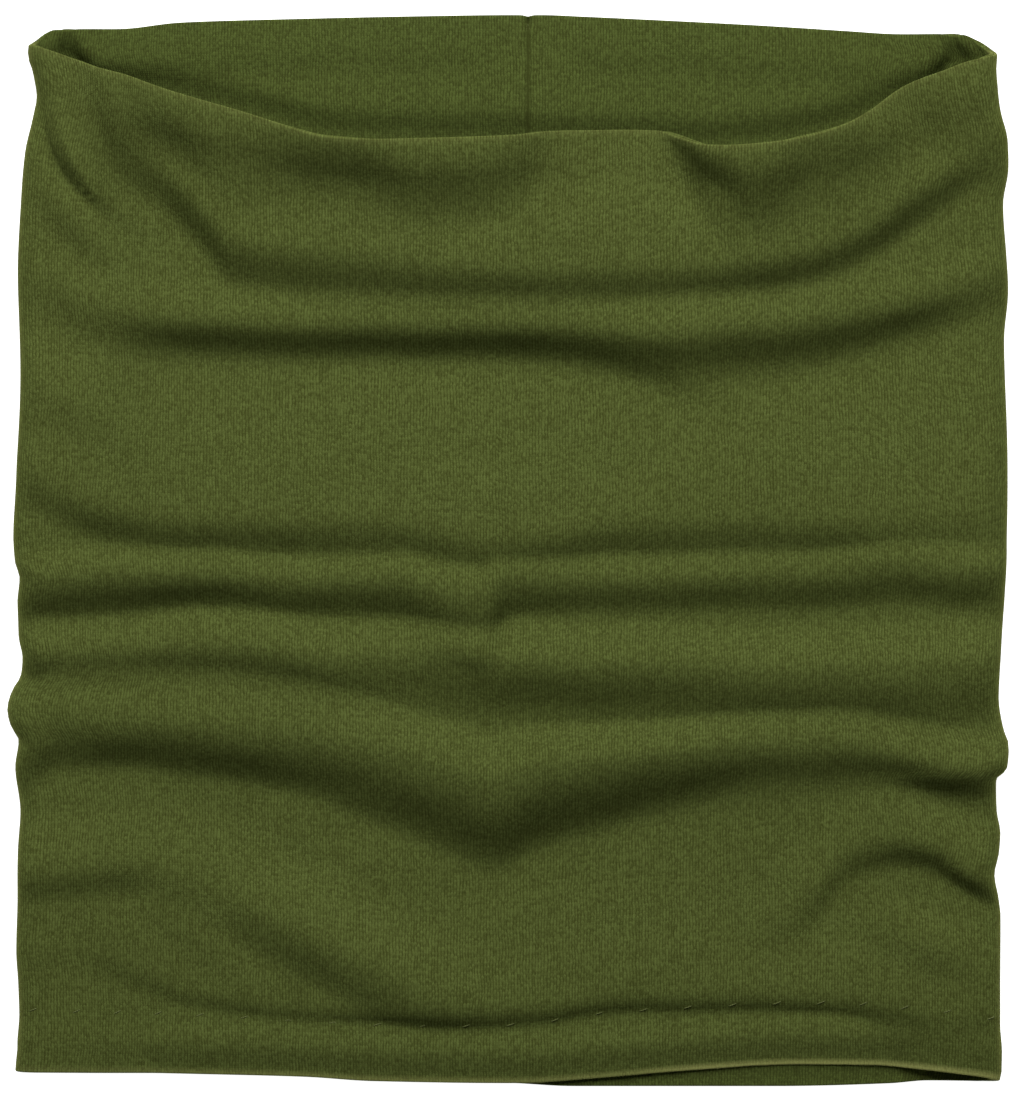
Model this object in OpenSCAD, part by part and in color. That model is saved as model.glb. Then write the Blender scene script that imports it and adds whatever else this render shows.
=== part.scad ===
// Double-layer knitted neck gaiter, laid on its back on a flat surface.
// +X is across the tube, +Y runs towards the mouth and +Z points up, out of the front wall.
// The origin is under the middle of the tube, on the surface that it lies on.

/* [Tube] */
// Width of the tube when it lies flat
tube_w = 250; // [200:5:300]
// Length from the hem edge to the mouth edge
tube_l = 270; // [200:5:320]
// Height of the laid tube, over both walls and the air between them
tube_h = 18; // [14:1:30]
// Thickness of one layer of jersey
jersey_t = 0.8; // [0.6:0.1:1]
// Space between the shell and the lining, which holds the seam allowances
layer_gap = 1.7; // [1.5:0.1:2.2]

/* [Mouth] */
// How far the middle of the front lip sags below the back edge
mouth_sag = 27; // [10:1:40]

/* [Hem] */
// How far the front lip of the hem lifts on its right half
hem_lift = 6; // [2:1:12]
// Distance of the slip stitches from the hem edge
slip_up = 15; // [12:1:20]
// Spacing of the slip stitches
slip_pitch = 11; // [8:1:20]
// Length of one slip stitch
slip_l = 3; // [2:0.5:4]

/* [Seams] */
// Width of every seam allowance
allowance_w = 6; // [5:0.5:8]
// Thickness of a sewing thread
thread_t = 0.25; // [0.2:0.05:0.3]
// Spacing of the overlock loops
loop_pitch = 6; // [4:1:12]
// Distance from the seam edge to the needle thread
needle_in = 1.5; // [1:0.5:2]
// How far the back seam lies to the right of the middle
seam_x = 5; // [0:1:20]

/* [Hidden] */
$fn = 96;

// The round side folds turn about these lines, at this distance from the middle
side_x = (tube_w - tube_h) / 2;
// Depths below the outer face, from the shell's inner face to the lining's outer face
ply_t = (layer_gap - 2 * thread_t) / 2;
shell_ply_d = jersey_t + thread_t;
lining_ply_d = shell_ply_d + ply_t;
looper_d = lining_ply_d + ply_t;
lining_d = looper_d + thread_t;
wall_t = lining_d + jersey_t;
gap_middle_d = jersey_t + layer_gap / 2;
// Radius of the arc that sags by sag between two points 2 * half apart
function arc_r(half, sag) = (half * half + sag * sag) / (2 * sag);
mouth_r = arc_r(side_x, mouth_sag);
hem_x = side_x / 2;
hem_r = arc_r(hem_x, hem_lift);
hem_arc_y = hem_lift - tube_l / 2 - hem_r;
// The back seams stop short of the turned edges, and stay clear of each other
seam_end = allowance_w + 1.2;
seam_l = tube_l - 2 * seam_end;
seam_clear = 0.2;
loops = floor(seam_l / loop_pitch);
// Slip stitches lie slanted in a shallow groove
slip_angle = 40;
slip_w = 0.5;
slip_depth = 0.3;
slip_band = slip_l * sin(slip_angle) + slip_w;
slip_half_count = floor(side_x / slip_pitch);
// Larger than the part, for cuts and regions
reach = 2 * tube_w;

shell_colour = [0.32, 0.36, 0.18];
lining_colour = [0.25, 0.29, 0.12];
thread_colour = [0.42, 0.46, 0.26];

// Outline of the flattened tube, r being half its height there
module stadium(r) {
    square([2 * side_x, 2 * r], center = true);
    for (side = [-1, 1])
        translate([side * side_x, 0])
            circle(r);
}

// Sleeve between two depths below the tube's outer face, as long as the tube
module sleeve(outer_d, inner_d) {
    translate([0, tube_l / 2, tube_h / 2])
        rotate([90, 0, 0])
            linear_extrude(tube_l)
                difference() {
                    stadium(tube_h / 2 - outer_d);
                    stadium(tube_h / 2 - inner_d);
                }
}

// Everything at least depth inside the mouth edge, whose front lip sags in an arc
module inside_mouth(depth) {
    difference() {
        translate([-reach / 2, -reach, -reach / 2])
            cube([reach, reach + tube_l / 2 - depth, reach]);
        translate([0, tube_l / 2 - mouth_sag + mouth_r, tube_h / 2])
            cylinder(r = mouth_r + depth, h = reach);
    }
}

// Everything at least depth inside the hem edge, whose front lip lifts in an arc on the right
module inside_hem(depth) {
    difference() {
        translate([-reach / 2, depth - tube_l / 2, -reach / 2])
            cube([reach, reach, reach]);
        translate([hem_x, hem_arc_y, tube_h / 2])
            cylinder(r = hem_r + depth, h = reach);
    }
}

// Everything between two depths inside the mouth edge
module mouth_zone(from, to) {
    difference() {
        inside_mouth(from);
        inside_mouth(to);
    }
}

// Everything between two depths inside the hem edge
module hem_zone(from, to) {
    difference() {
        inside_hem(from);
        inside_hem(to);
    }
}

// A layer of the tube, cut to the mouth and hem edges
module cloth(outer_d, inner_d) {
    intersection() {
        sleeve(outer_d, inner_d);
        inside_mouth(0);
        inside_hem(0);
    }
}

// The cloth of one layer that is turned in at the mouth and at the hem:
// a short web across the gap, then the seam allowance
module turned_edges(web_outer_d, web_inner_d, ply_outer_d) {
    intersection() {
        sleeve(web_outer_d, web_inner_d);
        union() {
            mouth_zone(0, jersey_t);
            hem_zone(0, jersey_t);
        }
    }
    intersection() {
        sleeve(ply_outer_d, ply_outer_d + ply_t);
        union() {
            mouth_zone(0, allowance_w);
            hem_zone(0, allowance_w);
        }
    }
}

// Straight bar beside the back seam: z and x, measured from the seam, are [from, to]
module back_bar(x, z) {
    translate([seam_x + x[0], -seam_l / 2, z[0]])
        cube([x[1] - x[0], seam_l, z[1] - z[0]]);
}

// The shell's allowance lies left of the back seam. The lining's is the same, turned half round the seam.
module lining_side() {
    translate([2 * seam_x, 0, 2 * gap_middle_d])
        rotate([0, 180, 0])
            children();
}

// Both plies of the back seam's allowance, pressed to one side
module back_allowance() {
    back_bar([-allowance_w, -seam_clear], [jersey_t, jersey_t + 2 * ply_t]);
}

module back_needle_thread() {
    z = jersey_t + 2 * ply_t;
    back_bar([-needle_in - thread_t, -needle_in], [z, z + thread_t]);
}

// Loops over the allowance, joined by the thread round its raw edge
module back_looper_thread() {
    z = jersey_t + 2 * ply_t;
    edge = [-allowance_w - thread_t, -allowance_w];
    back_bar(edge, [jersey_t, z + thread_t]);
    for (i = [0:loops - 1])
        translate([seam_x + edge[0], i * loop_pitch - seam_l / 2, z])
            cube([allowance_w - needle_in - thread_t, thread_t, thread_t]);
}

// A needle thread, all the way round inside the turned edge. Takes the edge's zone as its child.
module edge_needle_thread() {
    intersection() {
        sleeve(jersey_t, shell_ply_d);
        children();
    }
}

// Loops on the other side of the allowance, joined along its raw edge.
// Takes the allowance's zone and the raw edge's zone as its children.
module edge_looper_thread() {
    intersection() {
        sleeve(looper_d, lining_d);
        children(0);
        comb();
    }
    intersection() {
        sleeve(looper_d, lining_d);
        children(1);
    }
}

// Thin upright slices along the tube, one at each overlock loop
module comb() {
    count = floor(side_x / loop_pitch);
    for (i = [-count:count])
        translate([i * loop_pitch, -reach / 2, -reach / 2])
            cube([thread_t, reach, reach]);
}

// Height of the hem edge's front lip at x
function hem_lip(x) =
    abs(x - hem_x) < hem_x ? hem_arc_y + sqrt(hem_r * hem_r - (x - hem_x) * (x - hem_x)) : -tube_l / 2;

// One slip stitch, centred on a point of the groove
module slip_stitch(x, edge_y, z) {
    translate([x, edge_y + slip_up + slip_band / 2, z])
        rotate([0, 0, slip_angle])
            translate([-slip_l / 2 + slip_w / 2, -slip_w / 4, 0])
                cube([slip_l - slip_w, slip_w / 2, slip_depth]);
}

// Outer tube of jersey, with its turned edges, its back seam allowance and the slip stitch groove
module outer_shell() {
    color(shell_colour)
        difference() {
            union() {
                cloth(0, jersey_t);
                turned_edges(jersey_t, lining_ply_d, shell_ply_d);
                back_allowance();
            }
            intersection() {
                sleeve(0, slip_depth);
                hem_zone(slip_up, slip_up + slip_band);
            }
        }
}

// Inner tube of jersey, with its turned edges and its back seam allowance
module lining() {
    color(lining_colour) {
        cloth(lining_d, wall_t);
        turned_edges(lining_ply_d, lining_d, lining_ply_d);
        lining_side()
            back_allowance();
    }
}

module shell_back_seam_needle_thread() {
    color(thread_colour)
        back_needle_thread();
}

module shell_back_seam_looper_thread() {
    color(thread_colour)
        back_looper_thread();
}

module lining_back_seam_needle_thread() {
    color(thread_colour)
        lining_side()
            back_needle_thread();
}

module lining_back_seam_looper_thread() {
    color(thread_colour)
        lining_side()
            back_looper_thread();
}

module mouth_seam_needle_thread() {
    color(thread_colour)
        edge_needle_thread()
            mouth_zone(needle_in, needle_in + thread_t);
}

module mouth_seam_looper_thread() {
    color(thread_colour)
        edge_looper_thread() {
            mouth_zone(needle_in, allowance_w);
            mouth_zone(allowance_w - thread_t, allowance_w);
        }
}

module hem_seam_needle_thread() {
    color(thread_colour)
        edge_needle_thread()
            hem_zone(needle_in, needle_in + thread_t);
}

module hem_seam_looper_thread() {
    color(thread_colour)
        edge_looper_thread() {
            hem_zone(needle_in, allowance_w);
            hem_zone(allowance_w - thread_t, allowance_w);
        }
}

// A row of slip stitches on the front wall and another on the back wall
module hem_slip_stitches() {
    color(thread_colour)
        for (i = [-slip_half_count:slip_half_count]) {
            x = i * slip_pitch;
            slip_stitch(x, hem_lip(x), tube_h - slip_depth);
            slip_stitch(x, -tube_l / 2, 0);
        }
}

outer_shell();
lining();
shell_back_seam_needle_thread();
shell_back_seam_looper_thread();
lining_back_seam_needle_thread();
lining_back_seam_looper_thread();
mouth_seam_needle_thread();
mouth_seam_looper_thread();
hem_seam_needle_thread();
hem_seam_looper_thread();
hem_slip_stitches();
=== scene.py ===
"""The soft looks of a double-layer knitted neck gaiter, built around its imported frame.

Lengths are in millimetres until a mesh is made, and the stage's are in metres. "Across" is a place
from the left side fold to the right one, from -100 to 100. "Along" is a place from the hem to the
mouth, from 0 to 100.
"""

import math
from typing import NamedTuple

import bpy
import numpy as np
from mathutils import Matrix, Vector


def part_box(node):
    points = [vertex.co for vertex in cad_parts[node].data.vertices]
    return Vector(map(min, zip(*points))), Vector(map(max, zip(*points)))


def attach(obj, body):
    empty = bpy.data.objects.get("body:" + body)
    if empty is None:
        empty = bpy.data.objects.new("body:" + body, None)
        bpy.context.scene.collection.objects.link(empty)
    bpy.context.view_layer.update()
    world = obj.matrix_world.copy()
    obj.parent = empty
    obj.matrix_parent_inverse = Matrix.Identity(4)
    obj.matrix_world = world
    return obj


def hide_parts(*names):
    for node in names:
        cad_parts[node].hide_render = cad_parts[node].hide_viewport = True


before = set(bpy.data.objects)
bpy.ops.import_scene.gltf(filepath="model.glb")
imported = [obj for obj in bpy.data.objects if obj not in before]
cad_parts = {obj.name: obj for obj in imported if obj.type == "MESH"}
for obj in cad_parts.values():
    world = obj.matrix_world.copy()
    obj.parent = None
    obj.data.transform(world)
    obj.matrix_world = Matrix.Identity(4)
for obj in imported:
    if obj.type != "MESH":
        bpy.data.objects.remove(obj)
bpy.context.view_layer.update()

MM = 0.001
MESH_STEP = 0.05  # the surface's directions are measured over this distance either way
shell_low, shell_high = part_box("outer_shell")
HALF_W = (shell_high.x - shell_low.x) / 2 / MM
EDGE_ROLL = 1.3  # how far the rolled edges reach past the outlines below
MOUTH_Y = shell_high.y / MM - EDGE_ROLL
HEM_Y = shell_low.y / MM + EDGE_ROLL
LENGTH = MOUTH_Y - HEM_Y

# Cloth and sewing
JERSEY_T = 0.42  # one layer, as it lies pressed by its own seams
LAYERS_CLOSE = 0.24  # from the middle surface to a layer's middle, where the layers touch
LAYERS_APART = 0.75  # the same over a seam allowance
LAYER_MARGIN, LAYER_CLOSING = 0.5, 8  # past an allowance, where the layers start to close and over how far
ALLOWANCE = 6.0
CLEARANCE = 0.02  # between turned-in cloth, threads and the middle surface
SEAM_X = 5.0  # the back seam lies this far to the right of the middle, as in the CAD
SEAM_GROOVE, GROOVE_WIDTH = 0.45, 0.7  # how deep the cloth dips into the back seam, and how far from it
SEAM_NOTCH = 0.35  # how far the back seam pulls in the mouth edge
SEAM_SHADE_LINE = 0.65  # half the width of the painted shade line between the seam's two edges, for the shade in the slit between them

# Threads
THREAD_R = 0.12
THREAD_SIDES = 6
NEEDLE_IN = 1.5  # from a seam to its needle thread
LOOP_STEP = 1.25  # half the spacing of the overlock loops
LOOP_START, LOOP_PAST = 2.0, 0.1  # the back seam's loops run from here to just past the raw edge
SEAM_END_GAP = 1.2  # from a turned-in edge to the end of the back seam's threads
SLIP_R = 0.15
SLIP_PITCH = 11.0
SLIP_LENGTH = 3.2
SLIP_SLANT = math.radians(24)
SLIP_DIVE = 0.9  # how far a slip stitch's ends dive below its middle
SLIP_SEAT = 0.5  # how far its middle line lies above the cloth's face, as a share of its radius
SLIP_POINTS = 9
NEEDLE_POINTS = 200  # along a straight needle thread
NEAR_HEM = 0.05  # share of the length where a slip stitch's place across is taken
# (across, how far above the hem the slip stitches lie)
SLIP_UP = ((-100, 16), (-42, 15.5), (0, 16.5), (20, 18.5), (60, 18.5), (100, 16))

# Loose fibre, and a painted highlight on the same rims
EDGE_FUZZ_HIGHLIGHT = 0.3  # width of the lighter rim at the rolled edges: loose fibre, and a painted highlight for the sheen and bounced light there
MOUTH_FUZZ_HIGHLIGHT, FOLD_FUZZ_HIGHLIGHT = 0.08, 0.35  # how strongly it shows, from 0 to 1
HEM_FUZZ_HIGHLIGHT = ((-100, 0.2), (-40, 0.4), (20, 0.5), (40, 0.9), (100, 0.9))  # the same at the hem, by across
FOLD_HIGHLIGHT_FULL, FOLD_HIGHLIGHT_FADE = 0.5, 3.5  # distances from a side fold
FRONT_HIGHLIGHT_FADE = 6  # the rims fade out this far either side of a side fold

# The laid tube
SIDE_R = 5.0  # radius of the side folds, seen from above
CORNER_TUCK, CORNER_REACH = 1.0, 1.8  # the folds' ends are drawn in at the mouth, which rounds its corners
SAG_Z = 3.6  # height of the front wall's middle surface between the side folds
SIDE_Z = 8.0  # the same over the side folds
# Where each change towards the side folds starts, and over how much, both across
SIDE_RISE_FROM, SIDE_RISE_OVER = 62, 32
INSET_FROM, INSET_OVER = 60, 36
TUCK_FROM, TUCK_OVER = 88, 12
# (across, how far the front wall sinks to its hem lip), and over what distance
HEM_DROOP = ((-100, 0.4), (-76, 0.8), (-55, 2.4), (0, 2.4), (50, 3.2), (76, 3), (92, 1.6))
DROOP_LENGTH = 10
# How far the back wall climbs as it comes out of the mouth, and how far inside the front lip it starts to.
# It starts late beside each side fold, which leaves a dark pocket there.
# Both are (across either way, distance).
MOUTH_CLIMB = ((0, 3), (80, 3.4), (90, 4.8), (100, 4.8))
CLIMB_START = ((0, 5.4), (86, 5), (91, 0.3), (92.8, 0.3), (98, 7), (100, 7))
CLIMB_LENGTH = 8.0
HEM_BACK_RISE = 2.2  # how far the back wall climbs from its hem edge, under the front lip
HEM_BACK_UP, HEM_BACK_DOWN = 9, 30  # over what distances it climbs, and then sinks again
WALL_GAP = 2.1  # least height between the two walls' middle surfaces
LET_DOWN = 110.0  # how far a fold's kept height takes to run out
RIPPLE_LENGTHS = (70, 48, 34, 25, 18, 14)
RIPPLES_EACH = 3
RIPPLE_HEIGHT = 0.0019  # as a share of the ripple's length
RIPPLE_TURN = 0.6  # spread of the ripples' directions about straight across, in radians

# Mesh
COLUMN_STEP = 1.95
FOLD_COLUMN_STEP = 1.05
FOLD_COLUMNS_REACH = 28.0  # how far either side of a side fold the closer columns go
SEAM_COLUMNS = (0, 0.35, 0.7, 1.1, 1.6, 2.3)  # distances from the back seam
OUTER_ROWS = 150
INNER_ROWS = 110
OUTER_EDGE_ROWS, INNER_EDGE_ROWS = 10, 4
PLY_ROWS = 5
LENGTH_ROWS = 400  # rows over which the cloth's length is measured

# Jersey, as it is knitted and coloured
WALE, COURSE = 0.76, 0.6  # spacing of the stitches round and along the tube
WALE_WANDER = 1.1  # width over which the wales wander
STITCH_SLANT = 1.3  # slope of a V's arms, in courses per wale
STITCH_SHARE = 0.45  # how much of the relief comes from single stitches
KNIT_MEAN = 0.53  # of the knit's relief
RELIEF_SHADE_TONE = 1.3  # how strongly the relief shows in the colour: painted shade in the knit's hollows and painted highlight on its raised stitches
TONE_MIDDLE = 0.45  # the colour's place between dark and light where the relief is at its mean
FUZZ_HIGHLIGHT_LEAST = 0.35  # added to the fibre noise before it shows the loose fibre
# The rim colour: loose fibre, and a painted highlight for the sheen and light bounced from the table
FUZZ_AND_HIGHLIGHT_COLOUR = (0.3, 0.31, 0.1)
SHEEN_TINT = (0.5, 0.55, 0.16)
SHELL_COLOURS = (0.049, 0.057, 0.0125), (0.112, 0.142, 0.036)
# The lining's colours are a little darker than the shell's: painted shade on the tube's inner faces
LINING_SHADED_COLOURS = (0.046, 0.055, 0.0125), (0.1, 0.132, 0.031)
THREAD_COLOURS = (0.075, 0.09, 0.024), (0.15, 0.17, 0.055)

# Stage, with lengths in metres
FLOOR_HALF = 3.0
FLOOR_DROP = 0.0003  # keeps the floor from touching the cloth's underside
FLOOR_GREY = 0.9
KEY_PLACE = (0, 0.93, 1.27)
KEY_SIZE = 0.9
KEY_POWER = 29.5
WORLD_STRENGTH = 0.03
CAMERA_X = 0.00075
CAMERA_HEIGHT = 1.6
PICTURE_HEIGHT = 0.2766

# Outlines: (across, millimetres below the mouth line or above the hem line)
MOUTH_BACK_DROP = (
    (-100, 6.8), (-98, 4.7), (-96, 3.9), (-92, 3.7), (-80, 3.5), (-66, 1.9), (-43, 1), (-18, 0.3), (0, 0),
    (7, 0), (15, 0.4), (27, 1.1), (50, 2.6), (68, 4), (80, 4.8), (91, 4.9), (95, 5.1), (98, 6.4),
    (100, 8.6),
)
MOUTH_FRONT_DROP = (
    (-100, 8.2), (-98, 8.6), (-96, 9.2), (-91, 11.2), (-86, 12.5), (-80, 13), (-72, 14), (-66, 15.1),
    (-57, 17.6), (-50, 19.8), (-42, 22.5), (-36, 24.1), (-24, 25), (-10, 25.2), (4, 25.3), (15, 26),
    (30, 26.4), (40, 26.9), (50, 26.2), (60, 24.3), (68, 21.7), (76, 18.2), (83, 14.8), (90, 12.4),
    (96, 10.2), (98, 9.7), (100, 9.4),
)
HEM_BACK_LIFT = (
    (-100, 3.4), (-83, 3.2), (-59, 2.6), (-41, 2), (-27, 0.9), (0, 0.3), (13, -0.5), (54, -0.5),
    (78, 0.2), (86, 0.9), (94, 0.8), (100, 0.6),
)
HEM_FRONT_LIFT = (
    (-100, 3.4), (-83, 3.2), (-59, 2.6), (-41, 2), (-27, 0.9), (0, 0.4), (5, 0.5), (11, 1), (22, 2.1),
    (32, 3.2), (42, 4.1), (50, 4.8), (58, 5.1), (74, 4.9), (81, 4.3), (89, 3.4), (95, 2.5), (100, 1.8),
)

# How far each side fold stands in from the full width: (along, millimetres)
LEFT_INSET = (
    (0, 2.2), (2, 2.5), (3.4, 2.9), (6, 2.9), (9.5, 2.6), (12.4, 2.1), (17, 2.4), (22, 2.6), (25.5, 3.1),
    (29.6, 1.9), (32.2, 2.9), (33.6, 0.9), (35.1, 0), (36.6, 0.9), (38.3, 3.4), (40, 3.9), (42, 2.9),
    (45, 2.6), (47.4, 3.3), (49, 2.1), (51.2, 1.6), (57, 2.4), (66, 3.4), (76, 2.6), (83, 3.4),
    (87.3, 4.4), (90.5, 6.3), (92.8, 7.4), (94.6, 7), (96.4, 5.5), (97.3, 4.9), (97.8, 5.2), (98.4, 5.4),
    (100, 5.4),
)
RIGHT_INSET = (
    (0, 2.8), (0.9, 2.1), (8.5, 2.1), (15.7, 1.9), (17.2, 2.4), (19.6, 3.6), (21.7, 2.4), (23.5, 2),
    (25.5, 2.9), (28.6, 3.2), (29.6, 0.6), (31.7, 0.1), (33.3, 1.4), (36.3, 2.6), (40.7, 2.1),
    (45.3, 1.1), (51, 0.6), (58, 0.4), (69.6, 1.1), (74.2, 0.1), (77.4, 0.6), (82.4, 1.4), (85.8, 0.1),
    (88.3, 0.4), (90.8, 2.1), (93.4, 3.5), (95, 3.9), (96.4, 2.7), (97.1, 3.2), (97.6, 4), (100, 4.4),
)


class Fold(NamedTuple):
    """A fold across the front wall, whose steep face looks towards the hem."""

    line: tuple  # (across, along) points down the middle of the steep face
    rise: tuple  # (across, height) points
    face: tuple  # (across, width) points of the steep face
    tail: tuple  # (across, reach) points of the crest's back, towards the mouth
    hold: float = 0.0  # share of the height kept past the crest, and let down slowly
    lean: tuple = ((0, 0.35),)  # (across, share of its height that the crest leans towards the hem)
    skew: tuple = ((0, 1),)  # (across, power): above 1 the face is steepest at its crest, below 1 at its foot


class Crease(NamedTuple):
    """A short fold that runs any way over the front wall. Its steep face looks to its right-hand side."""

    across: float
    along: float
    angle: float  # the way it runs, in degrees from +X
    reach: float  # half its length
    rise: float
    face: float
    tail: float
    bend: float = 0.0  # how far its ends curve to its left-hand side
    skew: float = 1.0


FOLDS = (
    Fold(  # under the collar on the left
        line=(
            (-84, 92.4), (-67, 90.4), (-52, 87.4), (-36, 86.5), (-22, 85.8), (-6, 86), (0, 86.6), (6, 88),
            (12, 88.6),
        ),
        rise=(
            (-84, 0), (-66, 7.2), (-48, 10.4), (-36, 12.8), (-22, 11.6), (-6, 9.6), (2, 7.8), (8, 4.4),
            (14, 2), (26, 0),
        ),
        face=((-66, 19), (-52, 31), (-36, 32), (-22, 27), (-6, 24)), tail=((0, 14),), hold=0.92,
        skew=((-60, 1), (-40, 1.45), (-30, 1.45), (-16, 0.95)),
    ),
    Fold(  # the tucked wedge under the collar on the right
        line=(
            (30, 90.2), (35, 88.6), (39, 87), (43, 86), (48, 85.2), (53, 85), (60, 86.2), (70, 86.4),
            (78, 86.8),
        ),
        rise=(
            (30, 0), (34, 4.4), (40, 10.4), (47, 11.6), (53, 11.6), (58, 11.6), (66, 9.8), (72, 6.2),
            (80, 0),
        ),
        face=((31, 7), (38, 16), (44, 23), (51, 31), (60, 35), (78, 26)), tail=((0, 14),), hold=0.92,
        skew=((40, 1.5), (48, 1.15), (58, 1.5)),
    ),
    Fold(  # the collar's long swag
        line=(
            (-92, 94), (-85, 91), (-78, 87.4), (-69, 84.8), (-62, 81.8), (-54, 78.2), (-42, 77.2),
            (-22, 76.6), (4, 75.9), (39, 76.5), (59, 77.7), (73, 80.3), (83, 83.2), (100, 87),
        ),
        rise=(
            (-92, 0), (-80, 5.4), (-62, 7.5), (-36, 7), (0, 6), (30, 5.4), (60, 5.9), (83, 6.4),
            (100, 4.6),
        ),
        face=((-60, 18), (-36, 18), (0, 14), (60, 13), (90, 15)), tail=((0, 24),), hold=0.85,
    ),
    Fold(  # the deep fold under the collar
        line=(
            (-100, 73.4), (-86, 71.4), (-78, 70.8), (-62, 70.4), (-40, 70), (-2, 69.9), (10, 69.7),
            (22, 69.2), (37, 69.1), (52, 69.2), (59, 69.6), (71, 70.6), (79, 71.6), (91, 73), (100, 74.6),
        ),
        rise=(
            (-100, 2.4), (-86, 6), (-70, 8), (-62, 8.4), (-36, 9.2), (0, 9), (14, 9.6), (36, 10.6),
            (60, 10), (80, 7.8), (100, 4.4),
        ),
        face=((-88, 20), (-76, 17), (-62, 16), (0, 15.5), (14, 17), (28, 18), (42, 21), (60, 20), (90, 16)),
        tail=((0, 8),), hold=0.85, skew=((0, 1.15),),
    ),
    Fold(  # the chest's upper fold
        line=(
            (-100, 56.8), (-90, 54.9), (-78, 53.2), (-62, 52.3), (-22, 52.1), (-2, 50.6), (10, 50.9),
            (19, 51.8), (59, 52), (79, 52.1), (100, 52.9),
        ),
        rise=(
            (-100, 3.4), (-78, 5.6), (-62, 5.5), (-30, 5), (0, 4.7), (30, 4.8), (60, 4.8), (90, 3),
            (100, 2.4),
        ),
        face=((0, 14),), tail=((0, 52),),
    ),
    Fold(  # the narrow ridge below it
        line=(
            (-100, 45.9), (-78, 46.5), (-62, 46.9), (-42, 46.1), (-22, 45.9), (-14, 44.6), (-5, 43.6),
            (-0.5, 45.9), (6, 46.4), (19, 46.4), (59, 46.9), (79, 47.7), (100, 47.2),
        ),
        rise=(
            (-100, 7.4), (-78, 7.4), (-62, 7.2), (-36, 6), (-4, 8.4), (2, 6), (20, 5.4), (50, 5.2),
            (70, 5.8), (100, 6),
        ),
        face=(
            (-84, 17), (-62, 14), (-30, 15), (-16, 20), (-4, 24), (1, 14), (10, 13), (60, 13.5),
            (80, 14.5),
        ),
        tail=((0, 5),), hold=0.6,
    ),
    Fold(  # the broad soft ridge
        line=(
            (-100, 39), (-76, 39.2), (-62, 39), (-50, 38.8), (-36, 37.8), (-22, 37.3), (0, 37.4),
            (20, 36.7), (40, 36.5), (59, 37), (79, 37.4), (100, 37.8),
        ),
        rise=((-100, 4.6), (-62, 5.4), (-40, 6.6), (-18, 5.9), (0, 7.2), (30, 7), (60, 7), (100, 6.2)),
        face=(
            (-90, 13), (-76, 14), (-62, 18), (-40, 19), (-18, 24), (0, 21), (30, 23), (60, 20), (100, 20),
        ),
        tail=((0, 8),), hold=0.25, skew=((30, 1.2), (60, 0.9)),
    ),
    Fold(  # the deepest fold, which dips in a V
        line=(
            (-100, 30.4), (-90, 32.4), (-78, 32.4), (-62, 31.7), (-42, 30.4), (-32, 29.2), (-22, 27.8),
            (-12, 26.3), (-3, 25), (6, 26.6), (19, 27.7), (39, 29), (51, 29.5), (69, 29.9), (79, 29.5),
            (100, 28.6),
        ),
        rise=(
            (-100, 5.4), (-78, 7), (-40, 8), (-3, 11.6), (30, 9.4), (60, 6), (75, 6), (88, 7.4),
            (100, 6.4),
        ),
        face=((-80, 17), (-40, 20), (-20, 26), (-3, 30), (12, 26), (40, 21), (60, 22), (80, 19), (100, 16)),
        tail=((-40, 14), (-15, 9), (0, 7), (20, 5.5), (45, 6)), hold=0.35,
        skew=((-3, 0.85), (30, 1), (60, 1.35)),
        lean=((40, 0.35), (60, 0.7), (100, 0.7)),
    ),
    Fold(  # the small fold on the left below it
        line=((-104, 18.5), (-76, 19.3), (-66, 18), (-55, 15)),
        rise=((-104, 3), (-80, 3), (-66, 1.2), (-55, 0)),
        face=((-100, 10), (-60, 10)), tail=((0, 14),),
    ),
    Fold(  # the swag on the right below it
        line=((40, 12), (50, 13.6), (59, 15.6), (69, 20.6), (79, 21.9), (87, 21.3), (95, 19.2), (104, 17)),
        rise=((40, 0), (59, 2.4), (69, 3.2), (80, 5), (95, 5.4), (104, 5)),
        face=((40, 14), (70, 12), (90, 10)), tail=((0, 13),), hold=0.45,
    ),
    Fold(  # the stitched line above the hem
        line=(
            (-90, 12), (-76, 10), (-62, 7.5), (-42, 6.3), (-22, 6), (6, 6.3), (19, 7.2), (39, 7.5),
            (59, 7.3), (69, 7), (79, 6.4), (90, 5.4),
        ),
        rise=((-90, 0.6), (-76, 1.8), (-42, 2.6), (0, 3.2), (60, 3.2), (79, 2.6), (90, 1.4)),
        face=((-60, 8), (80, 8)), tail=((0, 30),),
    ),
)

CREASES = (
    # the tuck's edge
    Crease(across=39.4, along=84.4, angle=-57, reach=15, rise=3, face=5, tail=50, skew=0.7),
    # the deep fold's spur
    Crease(across=31, along=66.4, angle=-22, reach=13, rise=3, face=9, tail=24),
    # both sides of the collar
    Crease(across=80, along=90, angle=95, reach=10, rise=2.2, face=8, tail=9),
    Crease(across=86, along=91.5, angle=4, reach=22, rise=6.5, face=22, tail=12),
    Crease(across=-82, along=92, angle=-8, reach=20, rise=6, face=22, tail=12),
    # the cowl's edge
    Crease(across=-93.2, along=87.9, angle=-57, reach=18, rise=8, face=2.8, tail=30, bend=3),
    # beside the left side fold
    Crease(across=-88, along=63, angle=-22, reach=16, rise=2.8, face=12, tail=60),
    Crease(across=-91, along=81, angle=-40, reach=14, rise=3, face=8, tail=14),
    # two low swells between the V and the hem
    Crease(across=-34, along=12.9, angle=0, reach=24, rise=0.9, face=30, tail=16),
    Crease(across=32, along=12.9, angle=0, reach=22, rise=0.8, face=30, tail=16),
    # diagonals above the hem
    Crease(across=-41, along=12.1, angle=-27, reach=36, rise=5.4, face=12, tail=18),
    Crease(across=-66, along=14, angle=-38, reach=14, rise=1.4, face=7, tail=9),
    Crease(across=84, along=12, angle=-22, reach=14, rise=1.8, face=9, tail=9),
)


def smooth(t):
    """From 0 to 1 with no kink, as t goes from 0 to 1."""
    t = np.clip(t, 0, 1)
    return t * t * (3 - 2 * t)


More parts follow.
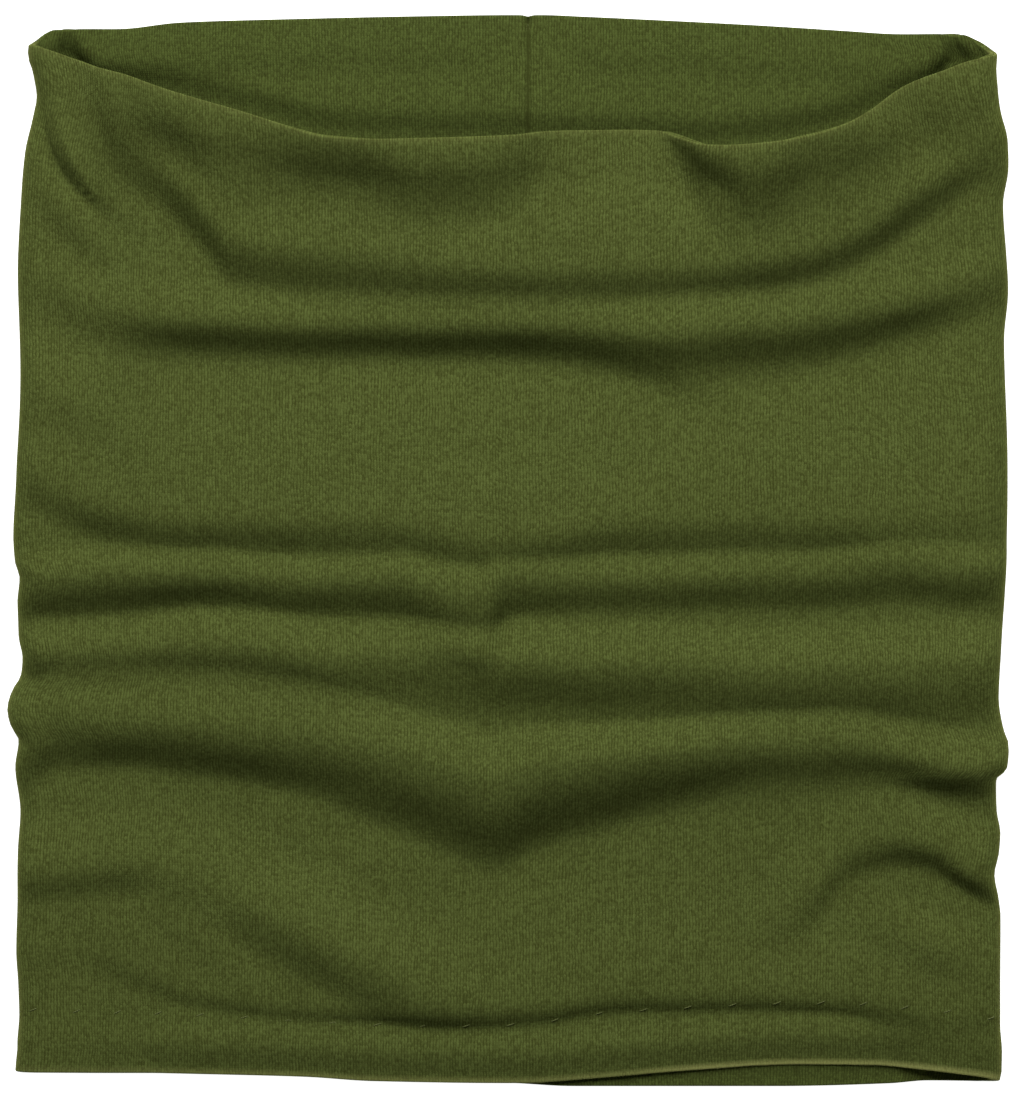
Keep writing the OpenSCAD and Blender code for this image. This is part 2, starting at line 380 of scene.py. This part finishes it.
def curve(points, at):
    """A smooth curve through (place, value) points, with no overshoot, held level past its ends."""
    places, values = np.array(points, float).T
    if len(places) == 1:
        return values[0] + 0 * at
    gaps = np.diff(places)
    slopes = np.diff(values) / gaps
    tangents = np.zeros_like(values)
    product = slopes[1:] * slopes[:-1]
    total = np.where(product > 0, slopes[1:] + slopes[:-1], 1)
    tangents[1:-1] = np.where(product > 0, 2 * product / total, 0)
    at = np.clip(at, places[0], places[-1])
    i = np.clip(np.searchsorted(places, at) - 1, 0, len(gaps) - 1)
    t = (at - places[i]) / gaps[i]
    bow = t * (1 - t) * gaps[i]
    blend = t * t * (3 - 2 * t)
    return (
        values[i] * (1 - blend)
        + values[i + 1] * blend
        + bow * ((1 - t) * tangents[i] - t * tangents[i + 1])
    )


def fold_profile(t, face, tail, hold=0.0, skew=1.0):
    """Height of a fold that rises by 1, at t towards its back from the middle of its steep face."""
    up_face = smooth(np.clip(t / face + 0.5, 0, 1) ** skew)
    past_crest = t - face / 2
    down_tail = (1 - hold) * smooth(past_crest / tail)
    let_down = hold * smooth(past_crest / LET_DOWN)
    return up_face * (1 - down_tail - let_down)


def across_of(x):
    return 100 * x / HALF_W


def along_of(y):
    return 100 * (y - HEM_Y) / LENGTH


def y_of(along):
    return HEM_Y + along * LENGTH / 100


def crease_height(crease, x, y):
    """Height that a crease adds at a point of the front wall."""
    angle = math.radians(crease.angle)
    dx = x - crease.across * HALF_W / 100
    dy = y - y_of(crease.along)
    down = dx * math.cos(angle) + dy * math.sin(angle)
    side = dy * math.cos(angle) - dx * math.sin(angle)
    share = down / crease.reach
    return (
        crease.rise
        * np.exp(-share * share)
        * fold_profile(side - crease.bend * share * share, crease.face, crease.tail, 0, crease.skew)
    )


def ripple(x, y):
    """Faint unevenness of cloth that lies loose."""
    waves = np.random.default_rng(11)
    height = np.zeros_like(x)
    for length in RIPPLE_LENGTHS:
        for _ in range(RIPPLES_EACH):
            turn = waves.normal(0, RIPPLE_TURN)
            phase = waves.uniform(0, 2 * math.pi)
            way = (x * math.sin(turn) + y * math.cos(turn)) * 2 * math.pi / length
            height += RIPPLE_HEIGHT * length * np.cos(way + phase)
    return height


def front_relief(x, y):
    """Height of the front wall's middle surface, and how far its folds lean towards the hem there."""
    across = across_of(x)
    side = smooth((np.abs(across) - SIDE_RISE_FROM) / SIDE_RISE_OVER)
    height = SAG_Z + (SIDE_Z - SAG_Z) * side + ripple(x, y)
    lean = np.zeros_like(height)
    for fold in FOLDS:
        line_y = y_of(curve(fold.line, across))
        face, tail, skew = (curve(table, across) for table in (fold.face, fold.tail, fold.skew))
        shape = fold_profile(y - line_y, face, tail, fold.hold, skew)
        part = curve(fold.rise, across) * shape
        height += part
        lean += curve(fold.lean, across) * part
    for crease in CREASES:
        height += crease_height(crease, x, y)
    return height, lean


FLAT_X = HALF_W - SIDE_R
AROUND = 4 * FLAT_X + 2 * math.pi * SIDE_R
# Round the tube from the middle of the back: over its left half, the left fold, the front,
# the right fold and the rest of the back
SECTION_AT = np.cumsum([0, FLAT_X, math.pi * SIDE_R, 2 * FLAT_X, math.pi * SIDE_R, FLAT_X])
SECTION_ANGLE = np.array([-90, -90, 90, 90, -90, -90])
SECTION_CENTRE = np.array([0, -FLAT_X, -FLAT_X, FLAT_X, FLAT_X, 0])


def layer_distance(a, s):
    """From the middle surface to the middle of either layer. Seam allowances push the layers apart."""
    to_edge = np.minimum(s, 1 - s) * LENGTH
    to_seam = np.minimum(a, AROUND - a)
    past = np.minimum(to_edge, to_seam) - ALLOWANCE - LAYER_MARGIN
    near = 1 - smooth(past / LAYER_CLOSING)
    return LAYERS_CLOSE + (LAYERS_APART - LAYERS_CLOSE) * near


def middle_surface(a, s):
    """The surface between the layers: a is round the tube from the back seam, and s, 0 to 1, hem to mouth."""
    a = np.mod(a, AROUND)
    section = np.mod(a - SEAM_X, AROUND)
    angle = np.radians(np.interp(section, SECTION_AT, SECTION_ANGLE))
    hand = np.where(section < AROUND / 2, -1, 1)
    x = np.interp(section, SECTION_AT, SECTION_CENTRE) + hand * SIDE_R * np.cos(angle)
    front = (1 + np.sin(angle)) / 2
    across = across_of(x)
    sideways = np.abs(across)

    notch = SEAM_NOTCH * np.exp(-((x - SEAM_X) ** 2))
    mouth_y = MOUTH_Y - curve(MOUTH_BACK_DROP, across) - notch
    lip_y = MOUTH_Y - curve(MOUTH_FRONT_DROP, across)
    hem_y = HEM_Y + curve(HEM_BACK_LIFT, across)
    hem_lip_y = HEM_Y + curve(HEM_FRONT_LIFT, across)
    back_y = hem_y + (mouth_y - hem_y) * s
    front_y = hem_lip_y + (lip_y - hem_lip_y) * s

    front_z, lean = front_relief(x, front_y)
    front_z -= curve(HEM_DROOP, across) * (1 - smooth((front_y - hem_lip_y) / DROOP_LENGTH))
    back_z = layer_distance(a, s) + JERSEY_T / 2
    climbed = back_y - lip_y + curve(CLIMB_START, sideways)
    back_z += curve(MOUTH_CLIMB, sideways) * smooth(climbed / CLIMB_LENGTH)
    from_hem = back_y - hem_y
    sunk_again = smooth((from_hem - HEM_BACK_UP) / HEM_BACK_DOWN)
    back_z += HEM_BACK_RISE * smooth(from_hem / HEM_BACK_UP) * (1 - sunk_again)
    y = back_y + (front_y - lean - back_y) * front
    z = back_z + (np.maximum(front_z, back_z + WALL_GAP) - back_z) * front

    inset = np.where(hand < 0, curve(LEFT_INSET, along_of(y)), curve(RIGHT_INSET, along_of(y)))
    tuck = CORNER_TUCK * np.exp(-(((1 - s) * LENGTH / CORNER_REACH) ** 2))
    x = x - hand * inset * smooth((sideways - INSET_FROM) / INSET_OVER)
    x = x - hand * tuck * smooth((sideways - TUCK_FROM) / TUCK_OVER)
    return np.stack([x, y, z], -1)


def unit(vectors):
    return vectors / np.linalg.norm(vectors, axis=-1, keepdims=True)


def surface_frame(a, s):
    """Points of the middle surface, with the outward normal and the way to the mouth at each."""
    a, s = np.broadcast_arrays(np.asarray(a, float), np.asarray(s, float))
    ds = MESH_STEP / LENGTH
    low, high = np.clip(s - ds, 0, 1), np.clip(s + ds, 0, 1)
    to_mouth = unit(middle_surface(a, high) - middle_surface(a, low))
    around = middle_surface(a + MESH_STEP, s) - middle_surface(a - MESH_STEP, s)
    return middle_surface(a, s), unit(np.cross(around, to_mouth)), to_mouth


def offset_point(a, s, offset, beyond=0.0):
    """A point offset outwards from the middle surface, and moved past an edge along the cloth."""
    point, normal, to_mouth = surface_frame(a, s)
    offset, beyond = np.asarray(offset, float)[..., None], np.asarray(beyond, float)[..., None]
    return point + normal * offset + to_mouth * beyond


class Row(NamedTuple):
    """One point of a layer's outline, as it shows when the layer is cut lengthwise."""

    s: float
    beyond: float  # how far past the edge, along the cloth
    from_layer: float  # offset from the layer's own middle, or nan
    from_middle: float  # offset from the surface between the layers, for turned-in cloth, or nan


def layer_rows():
    """One layer's outline from hem to mouth and back, with its allowances turned in at both edges."""
    ply_in = CLEARANCE
    ply_out = ply_in + JERSEY_T
    outer = LAYERS_APART + JERSEY_T / 2
    inner = LAYERS_APART - JERSEY_T / 2
    share = ALLOWANCE / LENGTH

    def face(count, offset, shares):
        return [Row(s, 0, offset, math.nan) for s in np.linspace(*shares, count)]

    def turn(s, start, end, count):
        out = 1 if s > 0.5 else -1
        rows = []
        for t in np.linspace(0, math.pi, count)[1:-1]:
            offset = (start + end) / 2 + (start - end) / 2 * math.cos(t)
            rows.append(Row(s, out * abs(start - end) / 2 * math.sin(t), math.nan, offset))
        return rows

    def ply(s, offset, inwards):
        places = np.linspace(0, share, PLY_ROWS)
        places = places if inwards else places[::-1]
        return [Row(abs(s - p), 0, math.nan, offset) for p in places]

    return [
        *face(OUTER_ROWS, JERSEY_T / 2, (0, 1)),
        *turn(1, outer, ply_in, OUTER_EDGE_ROWS),
        *ply(1, ply_in, True),
        *ply(1, ply_out, False),
        *turn(1, ply_out, inner, INNER_EDGE_ROWS),
        *face(INNER_ROWS, -JERSEY_T / 2, (1, 0)),
        *turn(0, inner, ply_out, INNER_EDGE_ROWS),
        *ply(0, ply_out, True),
        *ply(0, ply_in, False),
        *turn(0, ply_in, outer, OUTER_EDGE_ROWS),
    ]


def columns():
    """Places round the tube, closer together at the back seam and the side folds."""
    fold = AROUND / 4
    stops = [SEAM_COLUMNS[-1], fold - FOLD_COLUMNS_REACH, fold + FOLD_COLUMNS_REACH, AROUND / 2]
    steps = [COLUMN_STEP, FOLD_COLUMN_STEP, COLUMN_STEP]
    half = list(SEAM_COLUMNS[:-1])
    for start, end, step in zip(stops, stops[1:], steps):
        half = [*half, *np.linspace(start, end, round((end - start) / step), endpoint=False)]
    return np.array([*half, AROUND / 2, *(AROUND - np.array(half[:0:-1]))])


def new_object(name, verts, faces, material):
    """A smooth-shaded object, from vertices in millimetres."""
    mesh = bpy.data.meshes.new(name)
    mesh.from_pydata((np.asarray(verts) * MM).tolist(), [], faces)
    mesh.shade_smooth()
    mesh.materials.append(material)
    piece = bpy.data.objects.new(name, mesh)
    bpy.context.scene.collection.objects.link(piece)
    return piece


def set_cloth_map(mesh, uv):
    """One UV unit is a millimetre of cloth: u round the tube and v from the hem to the mouth."""
    layer = mesh.uv_layers.new(name="cloth_mm")
    layer.data.foreach_set("uv", np.asarray(uv, np.float32).ravel())


def cloth_layer(name, side, material):
    """One layer of jersey as a closed sheet. side is 1 for the shell and -1 for the lining."""
    a = columns()
    rows = layer_rows()
    s = np.array([r.s for r in rows])
    beyond = np.array([r.beyond for r in rows])
    grid_a, grid_s = np.meshgrid(a, s)
    layer = layer_distance(grid_a, grid_s)
    to_seam = np.minimum(grid_a, AROUND - grid_a)
    groove = SEAM_GROOVE * np.exp(-((to_seam / GROOVE_WIDTH) ** 2))
    from_layer = np.array([r.from_layer for r in rows])[:, None]
    from_middle = np.array([r.from_middle for r in rows])[:, None]
    offset = np.where(np.isnan(from_middle), layer + from_layer - groove, from_middle)
    verts = offset_point(grid_a, grid_s, side * offset, beyond[:, None] + 0 * grid_a)

    n_rows, n_cols = grid_a.shape
    index = np.arange(n_rows * n_cols).reshape(n_rows, n_cols)
    down, right = np.roll(index, -1, 0), np.roll(index, -1, 1)
    both = np.roll(down, -1, 1)
    order = (index, right, both, down) if side > 0 else (index, down, both, right)
    faces = np.stack(order, -1).reshape(-1, 4)
    piece = new_object(name, verts.reshape(-1, 3), faces.tolist(), material)

    shares, lengths = cloth_lengths(a)
    v = np.array([np.interp(s, shares, column) for column in lengths]).T
    v = np.concatenate([v, v[:, :1]], 1)
    u = np.broadcast_to(np.append(a, AROUND), v.shape)
    here = np.stack([u, v], -1)
    below = np.stack([u, np.roll(v, -1, 0)], -1)
    corners = (here[:, :-1], here[:, 1:], below[:, 1:], below[:, :-1])
    if side < 0:
        corners = (corners[0], *corners[:0:-1])
    set_cloth_map(piece.data, np.stack(corners, -2))
    # How much of the lighter rim, loose fibre and painted highlight, each point shows
    fuzz_and_highlight_layer = piece.data.attributes.new("fuzz", "FLOAT", "POINT")
    fuzz_and_highlight_layer.data.foreach_set("value", fuzz_and_highlight_share(grid_a, grid_s).ravel())
    return piece


def fuzz_and_highlight_share(a, s):
    """How much of the lighter rim shows, from 0 to 1: loose fibre and a painted highlight, most on the
    front's rolled edges and along the side folds.
    """
    left_fold, right_fold = AROUND / 4 + SEAM_X, 3 * AROUND / 4 + SEAM_X
    inside = np.minimum(a - left_fold, right_fold - a)
    on_front = smooth((inside + FRONT_HIGHLIGHT_FADE) / (2 * FRONT_HIGHLIGHT_FADE))
    mouth = MOUTH_FUZZ_HIGHLIGHT * (1 - smooth((1 - s) * LENGTH / EDGE_FUZZ_HIGHLIGHT))
    across = across_of(middle_surface(a, s)[..., 0])
    hem = curve(HEM_FUZZ_HIGHLIGHT, across) * (1 - smooth(s * LENGTH / EDGE_FUZZ_HIGHLIGHT))
    to_fold = np.minimum(np.abs(a - left_fold), np.abs(a - right_fold))
    fold = FOLD_FUZZ_HIGHLIGHT * (1 - smooth((to_fold - FOLD_HIGHLIGHT_FULL) / FOLD_HIGHLIGHT_FADE))
    return np.maximum(on_front * np.maximum(mouth, hem), fold)


def cloth_lengths(a):
    """Shares from hem to mouth, and how much cloth lies below each in every column."""
    s = np.linspace(0, 1, LENGTH_ROWS)
    grid_a, grid_s = np.meshgrid(a, s)
    points = middle_surface(grid_a, grid_s)
    pieces = np.linalg.norm(np.diff(points, axis=0), axis=-1)
    return s, np.concatenate([np.zeros((1, len(a))), np.cumsum(pieces, 0)]).T


def new_material(name):
    """An empty material, with short ways to add to it: make a node, calc a number and mix two colours."""
    material = bpy.data.materials.new(name)
    material.use_nodes = True
    tree = material.node_tree
    tree.nodes.clear()

    def put(socket, value):
        if isinstance(value, bpy.types.NodeSocket):
            tree.links.new(value, socket)
        elif value is not None:
            socket.default_value = value

    def make(kind, settings=None, **inputs):
        node = tree.nodes.new(kind)
        for key, value in (settings or {}).items():
            setattr(node, key, value)
        for key, value in inputs.items():
            put(node.inputs[key.replace("_", " ")], value)
        return node

    def calc(operation, *values):
        node = make("ShaderNodeMath", {"operation": operation})
        for socket, value in zip(node.inputs, values):
            put(socket, value)
        return node.outputs[0]

    def mix(share, low, high):
        node = make("ShaderNodeMix", {"data_type": "RGBA", "clamp_factor": True})
        put(node.inputs[0], share)
        low_socket, high_socket = [i for i in node.inputs if i.type == "RGBA"]
        put(low_socket, low)
        put(high_socket, high)
        return next(o for o in node.outputs if o.type == "RGBA")

    return material, make, calc, mix


def jersey_material(name, dark, light):
    """Fine plain knit: columns of V stitches, with heathered yarn and a soft fibre sheen."""
    material, make, calc, mix = new_material(name)
    cloth = make("ShaderNodeUVMap", {"uv_map": "cloth_mm"}).outputs[0]
    flat_noise = {"noise_dimensions": "2D"}
    wander = make("ShaderNodeTexNoise", flat_noise, Vector=cloth, Scale=0.11, Detail=2.0).outputs[0]
    round_tube, v = make("ShaderNodeSeparateXYZ", Vector=cloth).outputs[:2]
    u = calc("ADD", round_tube, calc("MULTIPLY", calc("SUBTRACT", wander, 0.5), WALE_WANDER))

    wale_number = calc("DIVIDE", u, WALE)
    course_number = calc("DIVIDE", v, COURSE)
    from_rib = calc("ABSOLUTE", calc("SUBTRACT", calc("FRACT", wale_number), 0.5))
    rib = calc("SINE", calc("MULTIPLY", calc("SUBTRACT", 0.5, from_rib), math.pi))
    slanted = calc("ADD", course_number, calc("MULTIPLY", from_rib, STITCH_SLANT))
    stitch = calc("ABSOLUTE", calc("SINE", calc("MULTIPLY", slanted, math.pi)))
    raised = calc("ADD", calc("MULTIPLY", stitch, STITCH_SHARE), 1 - STITCH_SHARE)
    knit = calc("MULTIPLY", rib, raised)
    cell = make("ShaderNodeCombineXYZ", X=calc("FLOOR", wale_number), Y=calc("FLOOR", slanted)).outputs[0]
    yarn = make("ShaderNodeTexWhiteNoise", flat_noise, Vector=cell).outputs["Value"]

    def noise(scale, detail, stretch=1.0):
        """Noise of that many features per millimetre, drawn out along the tube by 1 / stretch."""
        at = make("ShaderNodeMapping", Vector=cloth, Scale=(1.0, stretch, 1.0)).outputs[0]
        return make("ShaderNodeTexNoise", flat_noise, Vector=at, Scale=scale, Detail=detail).outputs[0]

    fibre = noise(2.6, 3.0, 0.45)
    streak = noise(1.2, 2.0, 0.1)
    heather = noise(0.3, 4.0)
    # Painted shade and highlight: the colour follows the knit's relief, darker in its hollows and lighter on
    # its raised stitches
    relief = calc("MULTIPLY", calc("SUBTRACT", knit, KNIT_MEAN), heather)
    tone = calc("ADD", calc("MULTIPLY", relief, RELIEF_SHADE_TONE), TONE_MIDDLE)
    for part, share in ((yarn, 0.5), (fibre, 1.2), (streak, 0.3), (heather, 0.2)):
        tone = calc("ADD", calc("MULTIPLY", calc("SUBTRACT", part, 0.5), share), tone)
    # Painted shade: the colour turns to its dark end along the back seam, for the shade in the slit between
    # its edges
    to_seam = calc("MINIMUM", round_tube, calc("SUBTRACT", AROUND, round_tube))
    seam_painted_shade = calc("SMOOTH_MIN", calc("DIVIDE", to_seam, SEAM_SHADE_LINE), 1.0, 0.5)
    colour = mix(calc("MULTIPLY", tone, seam_painted_shade), (*dark, 1), (*light, 1))
    # The lighter rim: loose fibre, and a painted highlight standing in for sheen and light bounced from the
    # table
    fuzz = make("ShaderNodeAttribute", {"attribute_name": "fuzz"}).outputs["Fac"]
    rim = mix(calc("MULTIPLY", fuzz, calc("ADD", fibre, FUZZ_HIGHLIGHT_LEAST)), colour, (*FUZZ_AND_HIGHLIGHT_COLOUR, 1))

    height = calc("ADD", knit, calc("MULTIPLY", fibre, 1.2))
    bump = make("ShaderNodeBump", Height=height, Strength=0.6, Distance=0.12 * MM)
    shader = make(
        "ShaderNodeBsdfPrincipled",
        Base_Color=rim, Normal=bump.outputs[0], Roughness=0.7, Specular_IOR_Level=0.0,
        Sheen_Weight=0.03, Sheen_Roughness=0.45, Sheen_Tint=(*SHEEN_TINT, 1),
    )
    make("ShaderNodeOutputMaterial", Surface=shader.outputs[0])
    return material


def thread_material():
    """Spun sewing thread, with its twist."""
    material, make, _, mix = new_material("sewing_thread")
    at = make("ShaderNodeTexCoord").outputs["Object"]
    wave = make("ShaderNodeTexWave", {"bands_direction": "DIAGONAL"}, Vector=at, Scale=900.0, Distortion=1.0)
    twist = wave.outputs["Fac"]
    dark, light = THREAD_COLOURS
    bump = make("ShaderNodeBump", Height=twist, Strength=0.4, Distance=0.05 * MM)
    shader = make(
        "ShaderNodeBsdfPrincipled",
        Base_Color=mix(twist, (*dark, 1), (*light, 1)), Normal=bump.outputs[0],
        Roughness=0.6, Specular_IOR_Level=0.15,
    )
    make("ShaderNodeOutputMaterial", Surface=shader.outputs[0])
    return material


def tube(points, radius, closed=False):
    """Vertices and faces of a round thread along points, with capped ends unless it is closed."""
    points = np.asarray(points, float)
    if closed:
        ways = unit(np.roll(points, -1, 0) - np.roll(points, 1, 0))
    else:
        ways = unit(np.gradient(points, axis=0))
    up = np.where(np.abs(ways[:, 2:]) < 0.9, [[0.0, 0.0, 1.0]], [[1.0, 0.0, 0.0]])
    side = unit(np.cross(ways, up))
    other = np.cross(ways, side)
    turns = np.linspace(0, 2 * math.pi, THREAD_SIDES, endpoint=False)
    ring = side[:, None] * np.cos(turns)[:, None] + other[:, None] * np.sin(turns)[:, None]
    verts = (points[:, None] + radius * ring).reshape(-1, 3)
    rings = len(points)
    faces = []
    for i in range(rings if closed else rings - 1):
        here, there = i * THREAD_SIDES, (i + 1) % rings * THREAD_SIDES
        for j in range(THREAD_SIDES):
            k = (j + 1) % THREAD_SIDES
            faces.append((here + j, there + j, there + k, here + k))
    if not closed:
        faces.append(tuple(range(THREAD_SIDES)))
        faces.append(tuple(range(len(verts) - 1, len(verts) - 1 - THREAD_SIDES, -1)))
    return verts, faces


def thread_piece(name, strands, material):
    """One object of several threads, each given as (points, radius, closed)."""
    verts, faces = [], []
    for points, radius, closed in strands:
        more, new_faces = tube(points, radius, closed)
        start = sum(len(v) for v in verts)
        faces += [tuple(start + i for i in face) for face in new_faces]
        verts.append(more)
    return new_object(name, np.concatenate(verts), faces, material)


def stage_floor():
    """A table that gives off white light, so that it shows plain white."""
    size = FLOOR_HALF
    mesh = bpy.data.meshes.new("floor")
    corners = [(-size, -size, 0), (size, -size, 0), (size, size, 0), (-size, size, 0)]
    mesh.from_pydata(corners, [], [(0, 1, 2, 3)])
    floor = bpy.data.objects.new("floor", mesh)
    bpy.context.scene.collection.objects.link(floor)
    floor.location.z = -FLOOR_DROP
    material = bpy.data.materials.new("white_table")
    material.use_nodes = True
    shader = material.node_tree.nodes["Principled BSDF"]
    shader.inputs["Base Color"].default_value = (FLOOR_GREY, FLOOR_GREY, FLOOR_GREY, 1)
    shader.inputs["Roughness"].default_value = 0.9
    shader.inputs["Emission Color"].default_value = (1, 1, 1, 1)
    shader.inputs["Emission Strength"].default_value = 1.0
    mesh.materials.append(material)


def key_light():
    """One soft square light from beyond the mouth, aimed at the middle of the gaiter."""
    data = bpy.data.lights.new("key", "AREA")
    data.shape = "SQUARE"
    data.size = KEY_SIZE
    data.energy = KEY_POWER
    lamp = bpy.data.objects.new("key", data)
    lamp.location = KEY_PLACE
    to_middle = Vector() - Vector(KEY_PLACE)
    lamp.rotation_euler = to_middle.to_track_quat("-Z", "Y").to_euler()
    bpy.context.scene.collection.objects.link(lamp)


def dim_world():
    world = bpy.data.worlds.new("studio")
    bpy.context.scene.world = world
    world.use_nodes = True
    background = world.node_tree.nodes["Background"]
    background.inputs["Color"].default_value = (1, 1, 1, 1)
    background.inputs["Strength"].default_value = WORLD_STRENGTH


def camera_above():
    """A long lens looking straight down, whose picture is PICTURE_HEIGHT high on the table."""
    data = bpy.data.cameras.new("camera")
    data.sensor_width = 36.0
    data.lens = data.sensor_width * CAMERA_HEIGHT / PICTURE_HEIGHT
    data.clip_end = 10
    camera = bpy.data.objects.new("camera", data)
    camera.location = (CAMERA_X, 0, CAMERA_HEIGHT)
    bpy.context.scene.collection.objects.link(camera)
    bpy.context.scene.camera = camera


def fit_in(piece, slot, *nodes):
    """Put a piece in the frame, in place of its CAD nodes."""
    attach(piece, "root")
    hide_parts(*nodes)


def sew(node, points, closed, material):
    """The thread that stands for a CAD node."""
    strand = thread_piece(f"{node}_strand", [(points, THREAD_R, closed)], material)
    fit_in(strand, "sewing_thread", node)


def zigzag(count, low, high):
    """Values that swing between low and high."""
    return np.where(np.arange(count) % 2 == 0, low, high)


def sew_edge(name, edge_s, inwards, material):
    """The needle and looper threads inside a turned edge. inwards is -1 at the mouth and 1 at the hem."""
    needle_s = edge_s + inwards * NEEDLE_IN / LENGTH
    raw_s = edge_s + inwards * ALLOWANCE / LENGTH
    depth = JERSEY_T + CLEARANCE + THREAD_R + CLEARANCE
    sew(f"{name}_seam_needle_thread", offset_point(columns(), needle_s, depth), True, material)
    count = 2 * round(AROUND / LOOP_STEP / 2)
    run = np.linspace(0, AROUND, count, endpoint=False)
    loops = offset_point(run, zigzag(count, needle_s, raw_s), -depth)
    sew(f"{name}_seam_looper_thread", loops, True, material)


def sew_back_seam(name, side, seam_a, material):
    """The needle and looper threads of a layer's back seam, which lie to that side of it."""
    end = (ALLOWANCE + SEAM_END_GAP) / LENGTH
    depth = LAYERS_APART - JERSEY_T / 2 - 2 * JERSEY_T - THREAD_R - CLEARANCE
    run = np.linspace(end, 1 - end, NEEDLE_POINTS)
    line = offset_point(seam_a + side * NEEDLE_IN, run, side * depth)
    sew(f"{name}_back_seam_needle_thread", line, False, material)
    count = round(LENGTH / LOOP_STEP)
    run = np.linspace(end, 1 - end, count)
    swing = zigzag(count, seam_a + side * LOOP_START, seam_a + side * (ALLOWANCE + LOOP_PAST))
    sew(f"{name}_back_seam_looper_thread", offset_point(swing, run, side * depth), False, material)


def make_threads(material):
    sew_edge("mouth", 1, -1, material)
    sew_edge("hem", 0, 1, material)
    sew_back_seam("shell", 1, 0, material)
    sew_back_seam("lining", -1, AROUND, material)


def make_slip_stitches(material):
    """Short slanted stitches in a row above the hem, whose ends dive into the cloth."""
    strands = []
    count = round(AROUND / SLIP_PITCH)
    t = np.linspace(-0.5, 0.5, SLIP_POINTS)
    lift = JERSEY_T / 2 + SLIP_R * SLIP_SEAT - SLIP_DIVE * (2 * np.abs(t)) ** 4
    for i in range(count):
        middle = (i + 0.5) * AROUND / count
        across = across_of(middle_surface(middle, NEAR_HEM)[0])
        a = middle + t * SLIP_LENGTH * math.cos(SLIP_SLANT)
        s = (curve(SLIP_UP, across) + t * SLIP_LENGTH * math.sin(SLIP_SLANT)) / LENGTH
        strands.append((offset_point(a, s, LAYERS_CLOSE + lift), SLIP_R, False))
    piece = thread_piece("hem_slip_stitch_threads", strands, material)
    fit_in(piece, "sewing_thread", "hem_slip_stitches")


shell_jersey = jersey_material("shell_jersey", *SHELL_COLOURS)
lining_jersey = jersey_material("lining_jersey", *LINING_SHADED_COLOURS)
sewing_thread = thread_material()

shell = cloth_layer("outer_shell_cloth", 1, shell_jersey)
fit_in(shell, "shell_jersey", "outer_shell")
lining = cloth_layer("lining_cloth", -1, lining_jersey)
fit_in(lining, "lining_jersey", "lining")
make_threads(sewing_thread)
make_slip_stitches(sewing_thread)

column_lengths = cloth_lengths(columns())[1][:, -1]

stage_floor()
key_light()
dim_world()
bpy.context.scene.view_settings.view_transform = "Standard"
camera_above()
